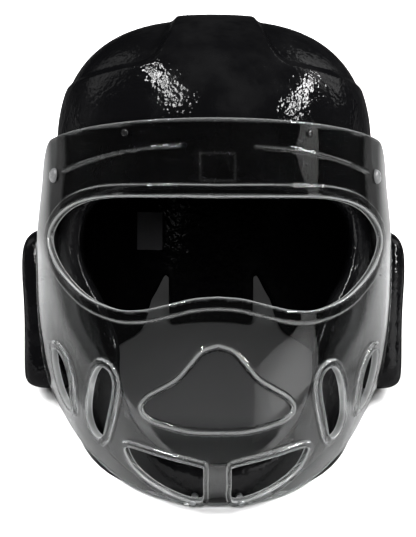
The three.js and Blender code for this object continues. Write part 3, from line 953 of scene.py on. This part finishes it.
# Fasteners: place on the shield, relief under the head, and radii of head, collar and pin
templeStud = {
    "x": 99, "z": 57, "seat": 0.0, "head": 4.6, "dome": 2.6, "collar": 5.0, "pin": 2.0,
    "pinLength": 8.0,
    "profile": [(1, 0), (1, 0.14), (0.96, 0.34), (0.86, 0.58), (0.68, 0.8), (0.4, 0.95), (0, 1)],
}
browStud = {
    "x": 54, "z": 79.5, "seat": 0.0, "head": 2.3, "dome": 1.2, "collar": 2.1, "pin": 1.1,
    "pinLength": 5.0,
    "profile": [(1, 0), (1, 0.2), (0.94, 0.45), (0.8, 0.7), (0.56, 0.9), (0.3, 0.98), (0, 1)],
}
chinScrew = {
    "x": 13.5, "z": -132.6, "seat": 1.4, "head": 1.9, "dome": 1.1, "collar": 1.9, "pin": 1.0,
    "pinLength": 9.0,
    "profile": [(1, 0), (1, 0.4), (0.94, 0.75), (0.78, 0.95), (0.6, 1), (0.5, 0.9), (0.44, 0.5), (0, 0.45)],
}


# Rings of points turned about an axis, with the faces between them
def turnedRings(seat, out, profile, turns=40):
    across = np.cross(out, (0, 0, 1))
    across /= np.linalg.norm(across)
    upwards = np.cross(out, across)
    angles = 2 * math.pi * np.arange(turns) / turns
    ring = np.cos(angles)[:, None] * across + np.sin(angles)[:, None] * upwards
    points = np.concatenate([seat + out * h + r * ring for r, h in profile])
    faces = []
    for row in range(len(profile) - 1):
        for k in range(turns):
            a, b = row * turns + k, row * turns + (k + 1) % turns
            faces.append([a, b, b + turns, a + turns])
    return points, faces


# A head outside the sheet, a collar between sheet and foam, and a pin in the foam
def makeFastener(kind, side, name, finishes):
    z = np.array([float(kind["z"])])
    u = np.array([side * faceShield["unroll"] * math.asin(kind["x"] / float(shieldAt(z)[0][0]))])
    seat, out = shieldFace(u, z)[0], shieldNormal(u, z)[0]
    foam = 0.0
    while foam < 40 and foamDistance(*(seat - out * foam)) > 0:
        foam += 0.05
    gap = stand["pieceGap"]
    foot, top, head = gap - foam, -faceShield["thickness"] - gap, gap + kind["seat"]
    inner = [(0, -foam - kind["pinLength"]), (kind["pin"], -foam - kind["pinLength"]), (kind["pin"], foot),
             (kind["collar"], foot), (kind["collar"], top), (0, top)]
    outer = [(0, head)] + [(kind["head"] * r, head + kind["dome"] * h) for r, h in kind["profile"]]
    points, faces = turnedRings(seat, out, inner)
    count = len(faces)
    morePoints, moreFaces = turnedRings(seat, out, outer)
    faces += [[corner + len(points) for corner in face] for face in moreFaces]
    piece = makePiece(name, toRow(np.concatenate((points, morePoints))), faces, finishes[0])
    piece.data.materials.append(finishes[1])
    for face in piece.data.polygons:
        face.material_index = 1 if face.index < count else 0
    piece.data.set_sharp_from_angle(angle=math.radians(40))
    return piece


studPlastic = studFinish()
pinPlastic = pinFinish()
screwSteel = screwFinish()
for side, word in ((1, "left"), (-1, "right")):
    stud = makeFastener(templeStud, side, "temple_stud_head_" + word, (studPlastic, pinPlastic))
    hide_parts("temple_stud_" + word)
    screw = makeFastener(chinScrew, side, "chin_screw_head_" + word, (screwSteel, screwSteel))
    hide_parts("chin_screw_" + word)
    small = makeFastener(browStud, side, "brow_stud_head_" + word, (pinPlastic, pinPlastic))

label = frame["nodes"]["inner_label"]
label.data.materials.clear()
label.data.materials.append(labelFinish())
print("fasteners and label made")

# Camera square to the worn face, which looks up by the tilt
view = {
    "away": 1000.0,
    "offX": -3.86,
    "yaw": math.radians(-1.0),
    "roll": math.radians(0.6),
    "height": 345.3,
    "film": 36.0,
}
camera = bpy.data.objects.new("camera", bpy.data.cameras.new("camera"))
bpy.context.scene.collection.objects.link(camera)
turned = Matrix.Rotation(view["yaw"], 3, "Z") @ Matrix.Rotation(math.pi / 2 - stand["tilt"], 3, "X")
camera.rotation_euler = (turned @ Matrix.Rotation(view["roll"], 3, "Z")).to_euler()
straight = Vector(toRow(np.array([view["offX"], -view["away"], 0.0])).tolist())
camera.location = Matrix.Rotation(view["yaw"], 4, "Z") @ straight
camera.data.sensor_width = view["film"]
camera.data.lens = view["film"] * view["away"] / view["height"]
camera.data.clip_start = 0.01
bpy.context.scene.camera = camera

# Pale floor and soft studio light
studio = {
    "floorSize": 5.0,
    "world": 0.03,
    "wall": {"radius": 2.3, "height": 3.0, "turns": 96, "shades": (0.9, 0.96)},
    "leftStrip": {"place": (-0.87, -0.2, 1.75), "aim": (0, -0.05, 0.15), "size": (1.45, 0.1), "power": 36.0},
    "rightStrip": {"place": (1.55, 0.0, 1.33), "aim": (0.05, 0, 0.2), "size": (1.35, 0.13), "power": 43.0},
    "frontFill": {"place": (0.0, -1.5, 1.3), "aim": (0.0, 0.0, 0.1), "size": (1.4, 0.8), "power": 14.0},
    "backLeft": {"place": (-1.4, 1.2, 1.0), "aim": (0.0, 0.0, 0.15), "size": (1.0, 1.0), "power": 1.6},
    "backRight": {"place": (1.4, 1.2, 1.0), "aim": (0.0, 0.0, 0.15), "size": (1.0, 1.0), "power": 3.6},
    "floorLeft": {"place": (-1.5, 0.8, 1.2), "aim": (0.0, 0.25, 0.0), "size": (1.0, 0.8), "power": 90.0},
    "floorRight": {"place": (1.5, 0.8, 1.2), "aim": (0.0, 0.25, 0.0), "size": (1.0, 0.8), "power": 90.0},
    "floorFront": {"place": (0.0, -1.4, 1.6), "aim": (0.0, -0.9, 0.0), "size": (1.4, 1.0), "power": 40.0},
    "underLamp": {"place": (0.0, 1.4, 0.9), "aim": (0.0, 0.14, 0.0), "size": (1.0, 0.5), "power": 1.5},
    "insideLamp": {"place": (0.0, 0.0, 0.16), "aim": (0, -0.01, 0), "size": (0.08, 0.08), "power": 0.022},
    "lights": {
        "guard": ("leftStrip", "rightStrip", "frontFill", "backLeft", "backRight"),
        "ground": ("floorLeft", "floorRight"),
        "front": ("floorFront",),
        "shade": ("underLamp", "insideLamp"),
    },
    "litBy": {"floor": ("ground", "front"), "floor_mirrored": ("ground",), "floor_painted_shadow": ("shade",)},
    "mirrored": ("leftStrip", "rightStrip", "backLeft", "backRight"),
    "pale": {"shades": (0.86, 0.88), "height": -0.0004},
    # painted shadow on the floor under the guard: its shades, a lighter shade further back, and its fade
    # behind
    "under": {"shades": (0.12, 0.13), "height": -0.0002, "middle": 0.05, "half": (0.094, 0.19), "power": 3},
    "underBack": {"shade": 0.5, "turn": (-0.085, -0.045)},
    "underFade": {"from": 0.04, "half": (0.085, 0.18), "turn": (0.8, 1.1)},
    # floor seen only in reflections, its shade painted darker further back and at the far sides to dim them
    "mirror": {"shades": (0.8, 0.82), "height": -0.0003, "from": -0.235},
    "mirrorBack": {"shade": 0.42, "turn": (-0.14, -0.08)},
    "mirrorSides": {"shade": 0.08, "turn": (0.3, 0.6)},
    "card": {"place": (1.04, -0.75, 0.3), "aim": (0.03, -0.1, 0.1), "half": (0.55, 0.45), "glow": 1.8},
}


def grey(level):
    return (level, level, level, 1)


# A plain floor, which can change shade further back and at the far sides, and can fade out behind
def floorFinish(name, shades, back=None, sides=None, fade=None):
    material, wire, place, shader = startFinish(name, {"Specular IOR Level": 0.2})
    mottle = wire.noise(place, 6.0, 3.0)
    shade = mottle.blend(grey(shades[0]), grey(shades[1]))
    for axis, change in (("Y", back), ("X", sides)):
        if change is not None:
            along = wire.node("ShaderNodeSeparateXYZ", {}, {0: place}, axis)
            if axis == "X":
                along = (along * along) ** 0.5
            shade = along.band(*change["turn"]).blend(shade, grey(change["shade"]))
    feed(shader, {"Base Color": shade, "Roughness": mottle * 0.1 + 0.6})
    if fade is not None:
        across = wire.node("ShaderNodeSeparateXYZ", {}, {0: place}, "X") * (1 / fade["half"][0])
        behind = wire.node("ShaderNodeSeparateXYZ", {}, {0: place}, "Y") - fade["from"]
        behind = wire.math("MAXIMUM", behind, 0.0) * (1 / fade["half"][1])
        away = (across * across + behind * behind) ** 0.5
        feed(shader, {"Alpha": 1 - away.band(*fade["turn"])})
    return material


# A piece of the studio and the kinds of light ray that see it
def makeStage(name, points, faces, material, rays):
    mesh = bpy.data.meshes.new(name)
    mesh.from_pydata(points, [], faces)
    mesh.materials.append(material)
    piece = bpy.data.objects.new(name, mesh)
    bpy.context.scene.collection.objects.link(piece)
    for ray in ("camera", "diffuse", "glossy", "transmission", "shadow"):
        setattr(piece, "visible_" + ray, ray in rays)
    return piece


def makeFloor():
    pale, under, mirror = studio["pale"], studio["under"], studio["mirror"]
    paleFinish = floorFinish("pale_floor", pale["shades"])
    paintedShadowFinish = floorFinish("painted_shadow_floor", under["shades"], studio["underBack"], fade=studio["underFade"])
    changes = studio["mirrorBack"], studio["mirrorSides"]
    mirrorFinish = floorFinish("mirrored_floor", mirror["shades"], *changes)
    half = studio["floorSize"] / 2
    sheet = [(-half, -half), (half, -half), (half, half), (-half, half)]
    rear = [(-half, mirror["from"]), (half, mirror["from"]), (half, half), (-half, half)]
    # the floor under the guard, which the floor lamps leave unlit: a painted shadow, dark near the chin,
    # lighter further back and fading out behind
    turns = np.linspace(0, 2 * math.pi, 64, endpoint=False)
    ring = np.stack((np.cos(turns), np.sin(turns)), 1)
    oval = np.sign(ring) * np.abs(ring) ** (2 / under["power"]) * np.array(under["half"])
    oval[:, 1] += under["middle"]
    # gloss and the clear sheet show only the floor beside and behind the guard, and that dimly: a painted
    # reflection, darker further back and darkest at the far sides
    seen = ("camera", "diffuse", "shadow")
    for name, outline, kind, material, rays in (
            ("floor", sheet, pale, paleFinish, seen),
            ("floor_painted_shadow", oval.tolist(), under, paintedShadowFinish, seen + ("transmission",)),
            ("floor_mirrored", rear, mirror, mirrorFinish, ("glossy", "transmission"))):
        points = [(x, y, 0) for x, y in outline]
        flat = makeStage(name, points, [list(range(len(points)))], material, rays)
        flat.location.z = kind["height"]


# A pale round wall far off, which shows only as the background
def makeWall():
    wall = studio["wall"]
    count = wall["turns"]
    material, wire, place, shader = startFinish("wall", {"Roughness": 1.0, "Emission Strength": 1.0})
    mottle = wire.noise(place, 0.6, 2.0)
    feed(shader, {"Emission Color": mottle.blend(grey(wall["shades"][0]), grey(wall["shades"][1]))})
    angles = 2 * math.pi * np.arange(count) / count
    ring = np.stack((np.cos(angles), np.sin(angles)), 1) * wall["radius"]
    points = [(x, y, z) for z in (0.0, wall["height"]) for x, y in ring.tolist()]
    faces = [(k, (k + 1) % count, count + (k + 1) % count, count + k) for k in range(count)]
    makeStage("wall", points, faces, material, ("camera",))


def facing(kind):
    return (Vector(kind["place"]) - Vector(kind["aim"])).to_track_quat("Z", "Y").to_euler()


# A soft pale card to the right, which shows only as a sheen on the clear sheet
def makeCard():
    card = studio["card"]
    half, rise = card["half"]
    fixed = {"Roughness": 1.0, "Emission Strength": card["glow"]}
    material, wire, place, shader = startFinish("card", fixed)
    across = wire.node("ShaderNodeSeparateXYZ", {}, {0: place}, "X")
    upwards = wire.node("ShaderNodeSeparateXYZ", {}, {0: place}, "Y")
    glow = across.band(-half, -0.1 * half) * across.band(half, 0.5 * half)
    glow = glow * upwards.band(-rise, -0.5 * rise) * upwards.band(rise, 0.2 * rise)
    feed(shader, {"Emission Color": glow.blend(grey(0), grey(1))})
    corners = [(-half, -rise, 0), (half, -rise, 0), (half, rise, 0), (-half, rise, 0)]
    sheet = makeStage("card", corners, [(0, 1, 2, 3)], material, ("glossy",))
    sheet.location = card["place"]
    sheet.rotation_euler = facing(card)


# Each lamp lights one group of pieces only
def makeLights():
    groups = {name: bpy.data.collections.new(name) for name in studio["lights"]}
    for piece in bpy.context.scene.objects:
        if piece.type == "MESH":
            for group in studio["litBy"].get(piece.name, ("guard",)):
                groups[group].objects.link(piece)
    for group, names in studio["lights"].items():
        for name in names:
            lamp = studio[name]
            data = bpy.data.lights.new(name, "AREA")
            data.shape = "RECTANGLE"
            data.size, data.size_y = lamp["size"]
            data.energy = lamp["power"]
            light = bpy.data.objects.new(name, data)
            light.location = lamp["place"]
            light.rotation_euler = facing(lamp)
            light.visible_glossy = name in studio["mirrored"]
            light.visible_transmission = False
            light.visible_camera = False
            bpy.context.scene.collection.objects.link(light)
            light.light_linking.receiver_collection = groups[group]
    world = bpy.data.worlds.new("studio")
    world.use_nodes = True
    world.node_tree.nodes["Background"].inputs["Color"].default_value = grey(studio["world"])
    bpy.context.scene.world = world


makeFloor()
makeWall()
makeCard()
makeLights()
bpy.context.scene.view_settings.view_transform = "Standard"
print("studio ready")
